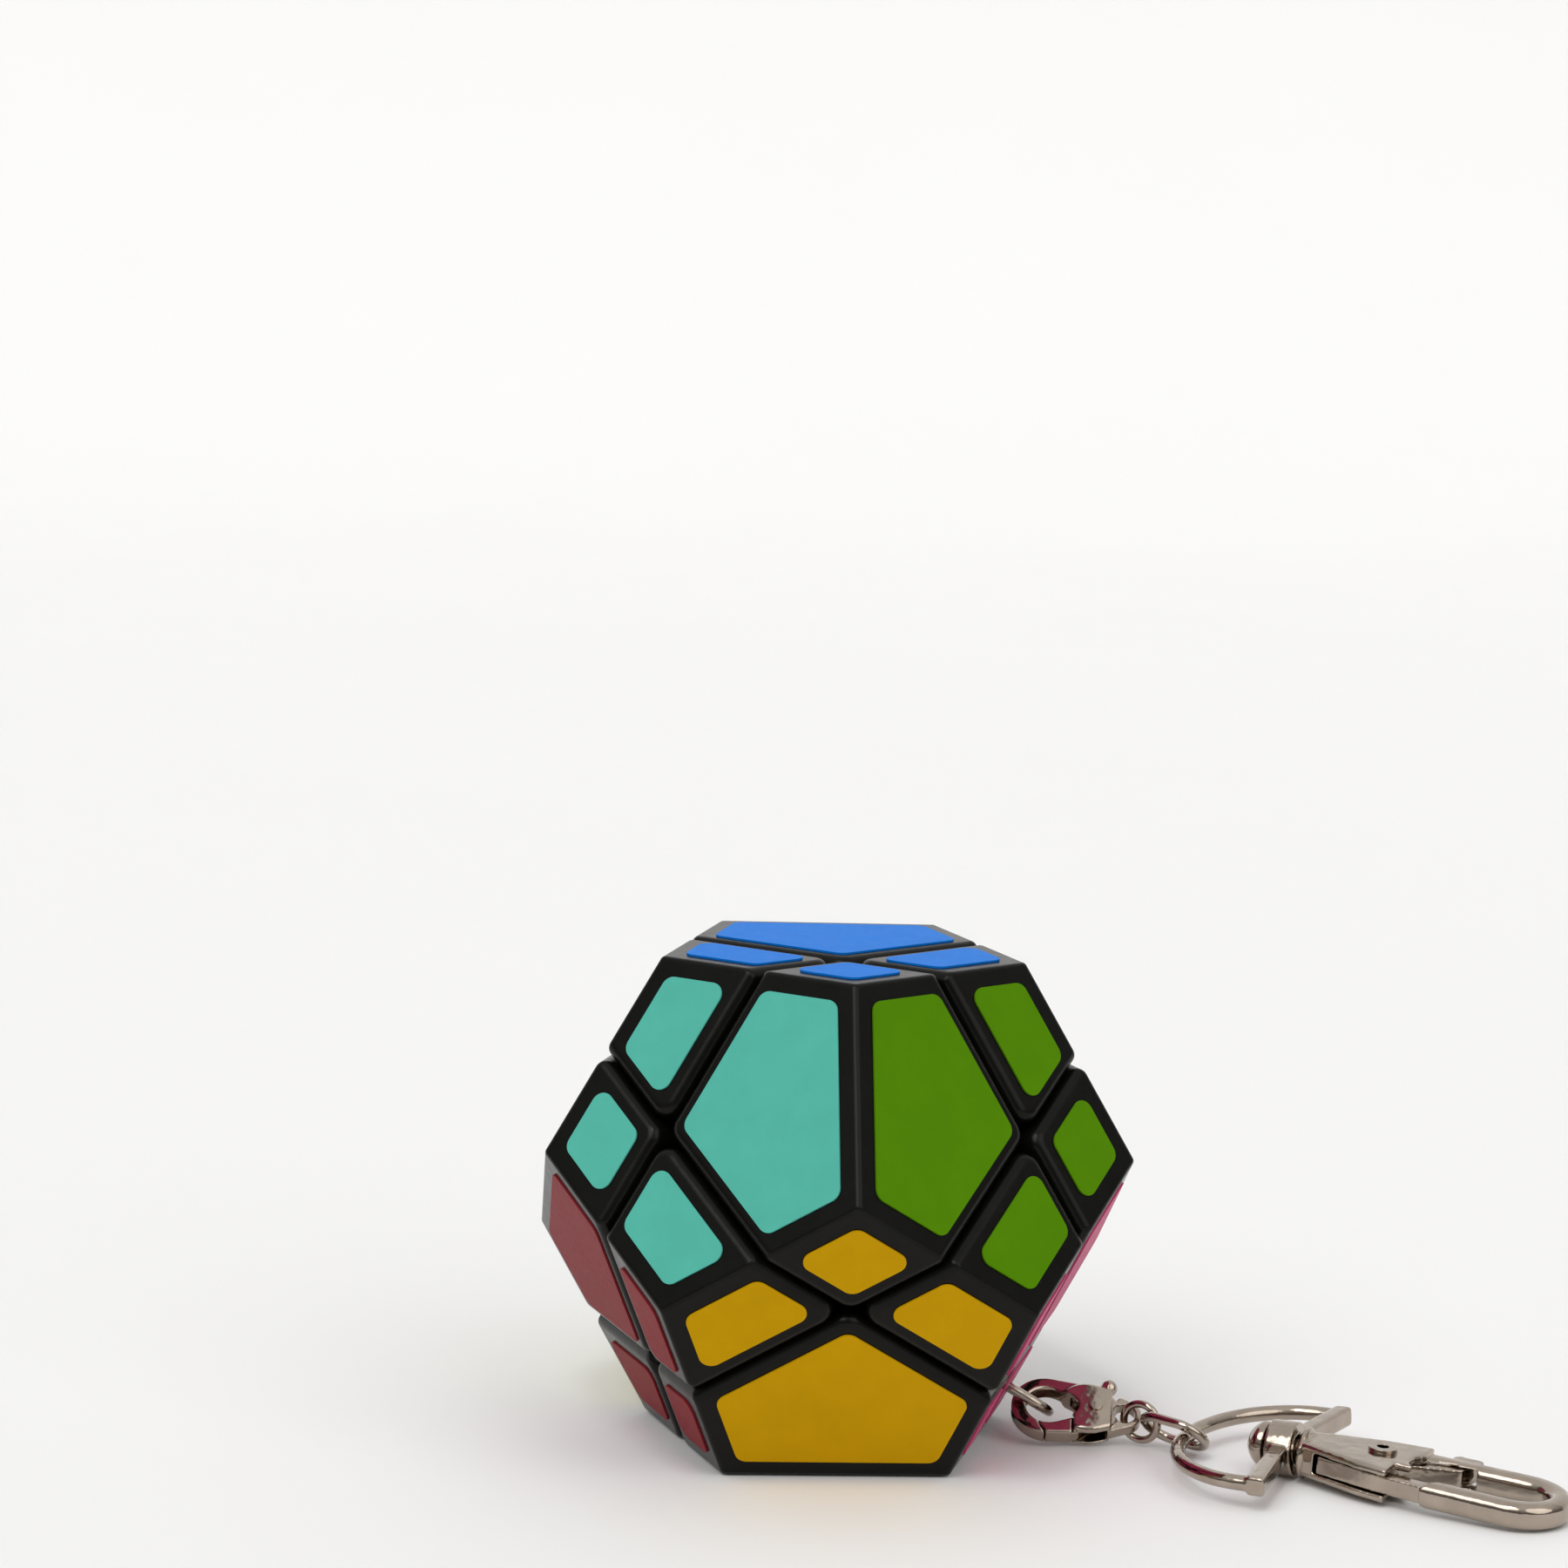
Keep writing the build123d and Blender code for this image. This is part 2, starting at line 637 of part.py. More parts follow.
def clasp_outline(thickness):
    """The clasp's loop before its mouth is cut."""
    loop = [(0, 0, CLASP_LOOP_OUT_R), (CLASP_BODY_X, 0, CLASP_BODY_R)]
    opening = [(0, 0, CLASP_LOOP_IN_R), (CLASP_LOOP_END[0], 0, CLASP_LOOP_END[1])]
    with BuildPart() as body:
        add(discs_hull(CLASP, -thickness / 2, loop, thickness))
        add(discs_hull(CLASP, -thickness, opening, 2 * thickness), mode=Mode.SUBTRACT)
        fillet(body.edges(), radius=CLASP_LOOP_ROUND)
    return body.part


def near_strip(end, thickness):
    """The block that holds the clasp's mouth, up to a given X."""
    edge = -CLASP_LIMIT
    corners = ((edge, LEVER_EDGE), (edge, edge), (end, edge), (end, LEVER_EDGE))
    return plate(CLASP, -thickness / 2, corners, thickness)


def clasp_body():
    """The lobster clasp's body: its open loop, its slotted middle and its tail eye."""
    pivot_x, pivot_y = CLASP_PIVOT
    tall = 2 * CLASP_BODY_THICKNESS
    middle = [(CLASP_BODY_X, 0, CLASP_BODY_R), (CLASP_EYE_X, 0, CLASP_EYE_R)]
    opening = [(0, 0, CLASP_LOOP_IN_R), (CLASP_LOOP_END[0], 0, CLASP_LOOP_END[1])]
    eye_trim = (CLASP_BODY_THICKNESS - CLASP_EYE_THICKNESS) / 2
    eye_sides = (
        (CLASP_EYE_START, -CLASP_LIMIT),
        (CLASP_EYE_START, CLASP_LIMIT),
        (CLASP_END, CLASP_LIMIT),
        (CLASP_END, -CLASP_LIMIT),
    )
    mouth_disc = disc(CLASP, pivot_x, pivot_y, LEVER_REACH + LEVER_GAP, -tall / 2, tall)
    strip = near_strip(LEVER_THICK_END + LEVER_GAP, tall)
    with BuildPart() as mouth:
        add(strip)
        add(mouth_disc, mode=Mode.INTERSECT)
    with BuildPart() as body:
        add(discs_hull(CLASP, -CLASP_BODY_THICKNESS / 2, middle, CLASP_BODY_THICKNESS))
        fillet(body.edges(), radius=CLASP_BODY_ROUND)
        add(plate(CLASP, CLASP_EYE_THICKNESS / 2, eye_sides, eye_trim), mode=Mode.SUBTRACT)
        add(plate(CLASP, -CLASP_BODY_THICKNESS / 2, eye_sides, eye_trim), mode=Mode.SUBTRACT)
        add(discs_hull(CLASP, -tall / 2, opening, tall), mode=Mode.SUBTRACT)
        add(clasp_outline(CLASP_LOOP_THICKNESS))
        add(mouth.part, mode=Mode.SUBTRACT)
        add(plate(CLASP, -CLASP_SLOT / 2, CLASP_SLOT_NEAR, CLASP_SLOT), mode=Mode.SUBTRACT)
        add(plate(CLASP, -CLASP_SLOT / 2, CLASP_SLOT_FAR, CLASP_SLOT), mode=Mode.SUBTRACT)
        add(disc(CLASP, CLASP_EYE_X, 0, CLASP_EYE_HOLE_R, -tall / 2, tall), mode=Mode.SUBTRACT)
        add(disc(CLASP, pivot_x, pivot_y, CLASP_PIN_R, -tall / 2, tall), mode=Mode.SUBTRACT)
    body.part.label = "clasp_body"
    export_step(body.part, "parts/clasp_body.step")


def clasp_lever():
    """The clasp's lever: its gate, its hub and its thumb knob."""
    pivot_x, pivot_y = CLASP_PIVOT
    arm = [LEVER_ELBOW, (pivot_x, pivot_y, LEVER_HUB_R)]
    tab_arm = [(pivot_x, pivot_y, LEVER_ARM_R), (*LEVER_TAB, LEVER_ARM_R)]
    tall = 2 * LEVER_THICKNESS
    with BuildPart() as thick_gate:
        add(clasp_outline(CLASP_LOOP_THICKNESS))
        add(near_strip(LEVER_THICK_END, CLASP_LOOP_THICKNESS), mode=Mode.INTERSECT)
    with BuildPart() as body:
        add(thick_gate.part)
        add(discs_hull(CLASP, -LEVER_THICKNESS / 2, arm, LEVER_THICKNESS))
        add(discs_hull(CLASP, -LEVER_THICKNESS / 2, tab_arm, LEVER_THICKNESS))
        with Locations(local_plane(CLASP, *LEVER_TAB, 0, "z")):
            Sphere(LEVER_TAB_R)
        add(disc(CLASP, pivot_x, pivot_y, LEVER_REACH, -LEVER_REACH, 2 * LEVER_REACH), mode=Mode.INTERSECT)
        add(disc(CLASP, pivot_x, pivot_y, LEVER_HOLE_R, -tall / 2, tall), mode=Mode.SUBTRACT)
        add(disc(CLASP, pivot_x, pivot_y, LEVER_HUB_R, 0, LEVER_THICKNESS), mode=Mode.SUBTRACT)
    body.part.label = "clasp_lever"
    export_step(body.part, "parts/clasp_lever.step")


def clasp_pin():
    """The pin that the clasp's lever turns on."""
    half = CLASP_BODY_THICKNESS / 2
    with BuildPart() as body:
        add(disc(CLASP, *CLASP_PIVOT, CLASP_PIN_R, -half, 2 * half))
        add(disc(CLASP, *CLASP_PIVOT, CLASP_PIN_HEAD_R, half, CLASP_PIN_HEAD))
        add(disc(CLASP, *CLASP_PIVOT, CLASP_PIN_HEAD_R, -half - CLASP_PIN_HEAD, CLASP_PIN_HEAD))
    body.part.label = "clasp_pin"
    export_step(body.part, "parts/clasp_pin.step")


def coil_spring(label, frame, pivot, low, pitch, height, radius, wire):
    """A small coil spring round a pin."""
    base = local_plane(frame, *pivot, low, "z")
    with BuildPart() as body:
        with BuildLine() as coil:
            Helix(pitch, height, radius, center=base.origin, direction=base.z_dir)
        with BuildSketch(Plane(origin=coil.line @ 0, z_dir=coil.line % 0)):
            Circle(wire)
        sweep(path=coil.line, is_frenet=True)
    body.part.label = label
    export_step(body.part, f"parts/{label}.step")


def jump_ring():
    """The round wire ring between the clasp and the oval link."""
    with BuildPart() as body:
        with Locations(Plane(origin=RING.origin, x_dir=RING.x_dir, z_dir=RING.y_dir)):
            Torus(RING_R, RING_WIRE_R)
    body.part.label = "jump_ring"
    export_step(body.part, "parts/jump_ring.step")


def oval_link():
    """The long wire link between the jump ring and the D-ring."""
    half = LINK_WIDTH / 2
    straight = LINK_LENGTH / 2 - half
    with BuildPart() as body:
        with BuildLine(LINK) as path:
            lower = Line((-straight, -half), (straight, -half))
            right = ThreePointArc(lower @ 1, (straight + half, 0), (straight, half))
            upper = Line(right @ 1, (-straight, half))
            ThreePointArc(upper @ 1, (-straight - half, 0), (-straight, -half))
        with BuildSketch(Plane(origin=path.line @ 0, z_dir=path.line % 0)):
            Circle(LINK_WIRE_R)
        sweep(path=path.line)
    body.part.label = "oval_link"
    export_step(body.part, "parts/oval_link.step")


def d_bar(side):
    """Half of the D-ring's flat bar, from its lug in to the boss."""
    half = D_BAR_WIDTH / 2
    inner = side * D_BOSS_R / 2
    outer = side * (D_HALF_WIDTH + D_WIRE_R)
    corners = ((D_BOSS_X - half, inner), (-half, outer), (half, outer), (D_BOSS_X + half, inner))
    with BuildPart() as bar:
        add(plate(D_RING, -D_BAR_HEIGHT / 2, corners, D_BAR_HEIGHT))
        fillet(bar.edges(), radius=D_BAR_ROUND)
    return bar.part


def d_ring():
    """The D-ring: its wire bow, its flat bar and the boss that the hook's stem turns in."""
    with BuildPart() as body:
        with BuildLine(D_RING) as path:
            Line((0, D_HALF_WIDTH), (-D_ARM, D_HALF_WIDTH))
            EllipticalCenterArc((-D_ARM, 0), D_BOW, D_HALF_WIDTH, start_angle=90, arc_size=180)
            Line((-D_ARM, -D_HALF_WIDTH), (0, -D_HALF_WIDTH))
        with BuildSketch(Plane(origin=path.line @ 0, z_dir=path.line % 0)):
            Circle(D_WIRE_R)
        sweep(path=path.line)
        for side in (1, -1):
            add(d_bar(side))
        with Locations(local_plane(D_RING, D_BOSS_X, 0, 0, "x")):
            Cylinder(D_BOSS_R, D_BOSS_LENGTH)
            Cylinder(STEM_R + STEM_GAP, 2 * D_BOSS_LENGTH, mode=Mode.SUBTRACT)
    body.part.label = "d_ring"
    export_step(body.part, "parts/d_ring.step")


def hook_box():
    """The hook's box before it is slotted."""
    corner_y = HOOK_NECK_HALF - HOOK_NECK_ROUND
    neck = [(HOOK_NECK_X + HOOK_NECK_ROUND, side * corner_y, HOOK_NECK_ROUND) for side in (1, -1)]
    outline = [*neck, (HOOK_BODY_X, 0, HOOK_BODY_R), (BOW_START[0], 0, BOW_START[1])]
    beyond = (
        (BOW_START[0], -HOOK_LIMIT),
        (BOW_START[0], HOOK_LIMIT),
        (BOW_START[0] + HOOK_LIMIT, HOOK_LIMIT),
        (BOW_START[0] + HOOK_LIMIT, -HOOK_LIMIT),
    )
    with BuildPart() as box:
        add(discs_hull(HOOK, -HOOK_THICKNESS / 2, outline, HOOK_THICKNESS))
        fillet(box.edges(), radius=HOOK_EDGE_ROUND)
        add(plate(HOOK, -HOOK_THICKNESS, beyond, 2 * HOOK_THICKNESS), mode=Mode.SUBTRACT)
    return box.part


def hook_bow():
    """The hook's rounded bow before its mouth is cut."""
    outline = [(BOW_START[0], 0, BOW_START[1]), (BOW_FINISH[0], 0, BOW_FINISH[1])]
    opening = [(BOW_OPENING_START[0], 0, BOW_OPENING_START[1]), (BOW_OPENING_END[0], 0, BOW_OPENING_END[1])]
    with BuildPart() as bow:
        add(discs_hull(HOOK, -BOW_THICKNESS / 2, outline, BOW_THICKNESS))
        add(discs_hull(HOOK, -BOW_THICKNESS, opening, 2 * BOW_THICKNESS), mode=Mode.SUBTRACT)
        fillet(bow.edges(), radius=BOW_ROUND)
    return bow.part


def hook_stem():
    """The hook's swivel stem with its riveted head and its flange."""
    with BuildPart() as stem:
        with BuildSketch(Plane(origin=HOOK.origin, x_dir=HOOK.x_dir, z_dir=HOOK.z_dir)):
            with BuildLine():
                dome = ThreePointArc((-RIVET_HEAD_END, 0), RIVET_DOME, (-RIVET_HEAD_SHOULDER, RIVET_HEAD_R))
                Polyline(
                    dome @ 1,
                    (-RIVET_HEAD_START, RIVET_HEAD_R),
                    (-RIVET_HEAD_START, STEM_R),
                    (FLANGE_START, STEM_R),
                    (FLANGE_START, FLANGE_R - FLANGE_ROUND),
                    (FLANGE_START + FLANGE_ROUND, FLANGE_R),
                    (FLANGE_END - FLANGE_ROUND, FLANGE_R),
                    (FLANGE_END, FLANGE_R - FLANGE_ROUND),
                    (FLANGE_END, 0),
                    (-RIVET_HEAD_END, 0),
                )
            make_face()
        revolve(axis=Axis(HOOK.origin, HOOK.x_dir))
    return stem.part


def hook_body():
    """The snap hook's body: its swivel stem, its slotted box and its bow."""
    pivot_x, pivot_y = GATE_PIVOT
    half = HOOK_THICKNESS / 2
    reach = disc(HOOK, pivot_x, pivot_y, GATE_REACH + GATE_GAP, -half, HOOK_THICKNESS)
    with BuildPart() as mouth:
        add(plate(HOOK, -half, GATE_MOUTH, HOOK_THICKNESS))
        add(reach, mode=Mode.INTERSECT)
    with BuildPart() as slot:
        add(plate(HOOK, -GATE_SLOT / 2, GATE_SLOT_NEAR, GATE_SLOT))
        add(reach, mode=Mode.INTERSECT)
        add(plate(HOOK, -GATE_SLOT / 2, GATE_SLOT_FAR, GATE_SLOT))
    opening = [(BOW_OPENING_START[0], 0, BOW_OPENING_START[1]), (BOW_OPENING_END[0], 0, BOW_OPENING_END[1])]
    with BuildPart() as body:
        add(hook_box())
        add(discs_hull(HOOK, -HOOK_THICKNESS, opening, 2 * HOOK_THICKNESS), mode=Mode.SUBTRACT)
        add(hook_bow())
        add(mouth.part, mode=Mode.SUBTRACT)
        add(slot.part, mode=Mode.SUBTRACT)
        add(hook_stem())
        add(disc(HOOK, pivot_x, pivot_y, PIVOT_PIN_R, -half, HOOK_THICKNESS), mode=Mode.SUBTRACT)
    body.part.label = "hook_body"
    export_step(body.part, "parts/hook_body.step")


def hook_gate():
    """The snap hook's gate with the thumb tab that swings it open."""
    pivot_x, pivot_y = GATE_PIVOT
    low = -GATE_THICKNESS / 2
    with BuildPart() as body:
        add(plate(HOOK, low, GATE_BAR, GATE_THICKNESS))
        add(plate(HOOK, low, GATE_WEB, GATE_THICKNESS))
        add(disc(HOOK, pivot_x, pivot_y, GATE_HUB_R, low, GATE_THICKNESS))
        add(disc(HOOK, pivot_x, pivot_y, GATE_REACH, low, GATE_THICKNESS), mode=Mode.INTERSECT)
        add(discs_hull(HOOK, low, GATE_ARM, GATE_THICKNESS))
        add(discs_hull(HOOK, low, GATE_TAB, GATE_THICKNESS))
        add(disc(HOOK, pivot_x, pivot_y, GATE_HOLE_R, low, GATE_THICKNESS), mode=Mode.SUBTRACT)
        add(disc(HOOK, pivot_x, pivot_y, GATE_HUB_R, 0, GATE_THICKNESS), mode=Mode.SUBTRACT)
    body.part.label = "hook_gate"
    export_step(body.part, "parts/hook_gate.step")


def gate_rivet():
    """The hollow rivet that the gate turns on."""
    half = HOOK_THICKNESS / 2
    with BuildPart() as body:
        add(disc(HOOK, *GATE_PIVOT, PIVOT_PIN_R, -half, 2 * half))
        add(disc(HOOK, *GATE_PIVOT, PIVOT_HEAD_R, half, PIVOT_HEAD))
        add(disc(HOOK, *GATE_PIVOT, PIVOT_HEAD_R, -half - PIVOT_HEAD, PIVOT_HEAD))
        add(disc(HOOK, *GATE_PIVOT, PIVOT_HOLE_R, -2 * half, 4 * half), mode=Mode.SUBTRACT)
    body.part.label = "gate_rivet"
    export_step(body.part, "parts/gate_rivet.step")


def puzzle():
    """The fourteen turning pieces, each a foot, a cap and its stickers."""
    solid = dodecahedron(HALF_HEIGHT)
    hollow = dodecahedron(HALF_HEIGHT - WALL)
    for letter, seat in CORNERS.items():
        holes = [eyelet_holes()] if letter == "b" else []
        foot(f"corner_{letter}_foot", seat, letter in CUT_AXES)
        cap(f"corner_{letter}_cap", seat, solid, hollow, holes)
        stickers(f"corner_{letter}_stickers", seat, holes)
    for word, seat in CENTRES.items():
        foot(f"centre_{word}_foot", seat, False)
        cap(f"centre_{word}_cap", seat, solid, hollow, [])
        stickers(f"centre_{word}_stickers", seat, [])


def keychain():
    """The eyelet, the clasp, the links, the D-ring and the snap hook."""
    eyelet()
    clasp_body()
    clasp_lever()
    clasp_pin()
    coil_spring(
        "clasp_spring",
        CLASP,
        CLASP_PIVOT,
        LEVER_SPRING_WIRE_R + SEAT_GAP,
        LEVER_SPRING_PITCH,
        LEVER_SPRING_HEIGHT,
        LEVER_SPRING_R,
        LEVER_SPRING_WIRE_R,
    )
    jump_ring()
    oval_link()
    d_ring()
    hook_body()
    hook_gate()
    gate_rivet()
    coil_spring(
        "gate_spring",
        HOOK,
        GATE_PIVOT,
        GATE_SPRING_WIRE_R + SEAT_GAP,
        GATE_SPRING_PITCH,
        GATE_SPRING_HEIGHT,
        GATE_SPRING_R,
        GATE_SPRING_WIRE_R,
    )


core()
axis_screws()
axis_washers()
axis_springs()
puzzle()
keychain()
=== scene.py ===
import json
import math

import bmesh
import bpy
from mathutils import Matrix, Vector


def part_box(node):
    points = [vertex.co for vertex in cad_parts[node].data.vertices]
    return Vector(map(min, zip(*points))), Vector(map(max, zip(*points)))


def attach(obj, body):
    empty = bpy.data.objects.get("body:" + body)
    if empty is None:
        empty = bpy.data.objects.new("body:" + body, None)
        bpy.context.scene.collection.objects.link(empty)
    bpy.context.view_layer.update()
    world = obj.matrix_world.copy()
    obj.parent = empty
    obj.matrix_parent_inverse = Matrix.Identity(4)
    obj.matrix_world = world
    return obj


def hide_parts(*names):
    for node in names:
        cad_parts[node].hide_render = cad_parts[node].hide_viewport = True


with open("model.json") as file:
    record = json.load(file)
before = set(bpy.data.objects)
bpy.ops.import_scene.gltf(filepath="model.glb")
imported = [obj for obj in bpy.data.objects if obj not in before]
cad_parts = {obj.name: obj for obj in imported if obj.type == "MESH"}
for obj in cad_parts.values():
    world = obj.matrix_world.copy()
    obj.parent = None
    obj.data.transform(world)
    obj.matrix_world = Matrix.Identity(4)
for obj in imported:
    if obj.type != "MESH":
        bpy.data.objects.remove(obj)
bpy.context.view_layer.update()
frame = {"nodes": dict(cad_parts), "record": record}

# Lengths are in metres and angles in degrees
MM = 0.001
GOLDEN = (1 + math.sqrt(5)) / 2
TILT = math.sqrt(GOLDEN * GOLDEN + 1)
NODES = frame["nodes"]
CAMERA_PLACE = (-26.8 * MM, -310.5 * MM, 96.5 * MM)
CAMERA_AZIMUTH = 4.03
CAMERA_DROP = 7.87
CAMERA_ROLL = 1.78
LENS = 90.0
FLOOR_FRONT = 12.0
FLOOR_BACK = 0.9
FLOOR_HALF = 12.0
SWEEP_R = 0.6
SWEEP_STEPS = 24
WALL_TOP = 2.2
SHARP_ANGLE = 32.0
SKY_STRENGTH = 0.8
SENSOR = 36.0
CLIP_NEAR = 0.01
BACKDROP = (1.1, 1.1, 1.1, 1.0)
WELD = 0.001 * MM
CRISP_EDGE = 0.25 * MM
CAST_EDGE = 0.12 * MM
PLASTIC_SHEEN = 0.14
VINYL_SHEEN = 0.03

# The twelve faces: each one's direction on the axes of the cube that fits inside, and its sticker's colour
FACE_COLOURS = {
    "sky_blue": ((0, GOLDEN, 1), (0.004, 0.175, 0.660)),
    "turquoise": ((-1, 0, GOLDEN), (0.083, 0.415, 0.335)),
    "green": ((1, 0, GOLDEN), (0.072, 0.205, 0.001)),
    "amber": ((0, -GOLDEN, 1), (0.560, 0.310, 0.001)),
    "red": ((-GOLDEN, -1, 0), (0.230, 0.018, 0.024)),
    "pink": ((GOLDEN, -1, 0), (0.560, 0.070, 0.185)),
    "lilac": ((GOLDEN, 1, 0), (0.330, 0.150, 0.420)),
    "navy": ((-GOLDEN, 1, 0), (0.022, 0.035, 0.220)),
    "white": ((0, GOLDEN, -1), (0.640, 0.640, 0.620)),
    "brown": ((1, 0, -GOLDEN), (0.130, 0.042, 0.024)),
    "lemon": ((-1, 0, -GOLDEN), (0.660, 0.580, 0.050)),
    "orange": ((0, -GOLDEN, -1), (0.640, 0.150, 0.012)),
}


def world_direction(cube):
    """A direction given on the inner cube's axes, turned to how the puzzle rests."""
    x, y, z = cube
    return Vector((x, (y - GOLDEN * z) / TILT, (GOLDEN * y + z) / TILT)).normalized()


# ---------------------------------------------------------------- materials


class Shader:
    """A small helper that adds and joins the nodes of one material."""

    def __init__(self, name):
        self.material = bpy.data.materials.new(name)
        self.material.use_nodes = True
        self.tree = self.material.node_tree
        self.surface = self.tree.nodes["Principled BSDF"]
        self.place = self.add("ShaderNodeTexCoord").outputs["Object"]

    def add(self, kind, **values):
        """A new node; each value is one of its settings or, failing that, one of its inputs."""
        node = self.tree.nodes.new(kind)
        for key, value in values.items():
            if hasattr(node, key):
                setattr(node, key, value)
            else:
                node.inputs[key.replace("_", " ").title()].default_value = value
        return node

    def join(self, out, into):
        """Links an output to an input."""
        self.tree.links.new(out, into)

    def noise(self, scale, detail=3.0, roughness=0.55):
        """A cloudy value between 0 and 1."""
        node = self.add("ShaderNodeTexNoise", Scale=scale, Detail=detail, Roughness=roughness)
        self.join(self.place, node.inputs["Vector"])
        return node.outputs["Fac"]

    def ramp(self, source, stops):
        """A colour that runs through the stops as the source rises."""
        node = self.add("ShaderNodeValToRGB")
        elements = node.color_ramp.elements
        while len(elements) < len(stops):
            elements.new(0.5)
        for element, (place, colour) in zip(elements, stops):
            element.position = place
            element.color = (*colour, 1.0)
        self.join(source, node.inputs["Fac"])
        return node.outputs["Color"]

    def range(self, source, low, high):
        """The source spread between two values."""
        node = self.add("ShaderNodeMapRange")
        node.inputs["To Min"].default_value = low
        node.inputs["To Max"].default_value = high
        self.join(source, node.inputs["Value"])
        return node.outputs["Result"]

    def soft_edges(self, radius):
        """A normal that rounds off the edges over a radius."""
        return self.add("ShaderNodeBevel", samples=6, Radius=radius).outputs["Normal"]

    def bump(self, source, strength, distance, below=None):
        """A normal raised by the source, on top of the normal below it."""
        node = self.add("ShaderNodeBump", Strength=strength, Distance=distance)
        self.join(source, node.inputs["Height"])
        if below:
            self.join(below, node.inputs["Normal"])
        return node.outputs["Normal"]


def shade(colour, factor):
    """A colour made lighter or darker."""
    return tuple(min(1.0, channel * factor) for channel in colour)


def plastic(name, colour, low_gloss, high_gloss, grain):
    """Moulded plastic with a faint spark-eroded grain and handling marks."""
    s = Shader(name)
    cloud = s.noise(260.0, 4.0)
    tone = s.ramp(cloud, [(0.3, shade(colour, 0.75)), (0.7, shade(colour, 1.35))])
    s.join(tone, s.surface.inputs["Base Color"])
    s.join(s.range(s.noise(900.0, 5.0), low_gloss, high_gloss), s.surface.inputs["Roughness"])
    soft = s.bump(s.noise(420.0, 2.0), 0.12, 0.00025, s.soft_edges(CRISP_EDGE))
    s.join(s.bump(s.noise(9000.0, 2.0), grain, 0.00003, soft), s.surface.inputs["Normal"])
    s.surface.inputs["Specular IOR Level"].default_value = PLASTIC_SHEEN
    return s.material


def vinyl(name, colour):
    """Coloured vinyl film: a satin skin with a fine pebble and a little unevenness of print."""
    s = Shader(name)
    print_cloud = s.noise(350.0, 5.0)
    tone = s.ramp(print_cloud, [(0.25, shade(colour, 0.95)), (0.5, colour), (0.75, shade(colour, 1.04))])
    s.join(tone, s.surface.inputs["Base Color"])
    s.join(s.range(s.noise(1800.0, 4.0), 0.34, 0.5), s.surface.inputs["Roughness"])
    wave = s.bump(s.noise(130.0, 1.0), 0.15, 0.0004)
    pebble = s.bump(s.noise(5200.0, 3.0), 0.22, 0.00003, wave)
    s.join(pebble, s.surface.inputs["Normal"])
    s.surface.inputs["Specular IOR Level"].default_value = VINYL_SHEEN
    return s.material


def metal(name, colour, low_gloss, high_gloss, waviness):
    """Nickel plating: bright, with a slow cast unevenness and fine handling haze."""
    s = Shader(name)
    s.surface.inputs["Metallic"].default_value = 1.0
    tone = s.ramp(s.noise(420.0, 4.0), [(0.3, shade(colour, 0.86)), (0.7, shade(colour, 1.08))])
    s.join(tone, s.surface.inputs["Base Color"])
    s.join(s.range(s.noise(1500.0, 6.0), low_gloss, high_gloss), s.surface.inputs["Roughness"])
    cast = s.bump(s.noise(600.0, 2.0), waviness, 0.0003, s.soft_edges(CAST_EDGE))
    s.join(s.bump(s.noise(7000.0, 3.0), 0.05, 0.00003, cast), s.surface.inputs["Normal"])
    return s.material


SHELL = plastic("shell_plastic", (0.0028, 0.0028, 0.0020), 0.18, 0.30, 0.16)
INNER = plastic("inner_plastic", (0.014, 0.014, 0.015), 0.40, 0.60, 0.20)
CAST = metal("nickel_cast", (0.41, 0.345, 0.285), 0.08, 0.16, 0.22)
WIRE = metal("nickel_wire", (0.43, 0.365, 0.305), 0.06, 0.13, 0.10)
ZINC = metal("screw_steel", (0.56, 0.56, 0.58), 0.25, 0.40, 0.10)
SPRING = metal("spring_steel", (0.46, 0.45, 0.45), 0.22, 0.34, 0.10)
VINYLS = {name: vinyl("vinyl_" + name, colour) for name, (_, colour) in FACE_COLOURS.items()}
PLAIN = {
    "shell_plastic": SHELL,
    "inner_plastic": INNER,
    "nickel_cast": CAST,
    "nickel_wire": WIRE,
    "screw_steel": ZINC,
    "spring_steel": SPRING,
}


def paint(target, material):
    """Gives a whole mesh one material."""
    target.data.materials.clear()
    target.data.materials.append(material)


def paint_stickers(target):
    """Gives each sticker of a node the colour of the face that it lies on."""
    names = list(FACE_COLOURS)
    directions = [world_direction(FACE_COLOURS[name][0]) for name in names]
    middle = sum((Vector(corner) for corner in PUZZLE_BOX), Vector()) / 2
    target.data.materials.clear()
    for name in names:
        target.data.materials.append(VINYLS[name])
    for polygon in target.data.polygons:
        out = polygon.center - middle
        reach = [out.dot(direction) for direction in directions]
        polygon.material_index = reach.index(max(reach))


def soften_shading(target, angle):
    """Smooth shading, with edges sharper than the angle kept crisp."""
    mesh = target.data
    mesh.polygons.foreach_set("use_smooth", [True] * len(mesh.polygons))
    work = bmesh.new()
    work.from_mesh(mesh)
    for edge in work.edges:
        if len(edge.link_faces) == 2:
            edge.smooth = edge.calc_face_angle(0.0) < angle
    work.to_mesh(mesh)
    work.free()


def caps_box():
    """The lowest and highest corner of the puzzle without its keychain."""
    low = Vector((1.0, 1.0, 1.0))
    high = -low
    for name in NODES:
        if name.endswith("_cap"):
            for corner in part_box(name):
                low = Vector(map(min, low, corner))
                high = Vector(map(max, high, corner))
    return low, high


PUZZLE_BOX = caps_box()
SLOTS = {row["node"]: row["material_slot"] for row in frame["record"]["subparts"]}
for name, node in NODES.items():
    if name.endswith("_stickers"):
        paint_stickers(node)
    else:
        paint(node, PLAIN[SLOTS[name]])
    soften_shading(node, math.radians(SHARP_ANGLE))


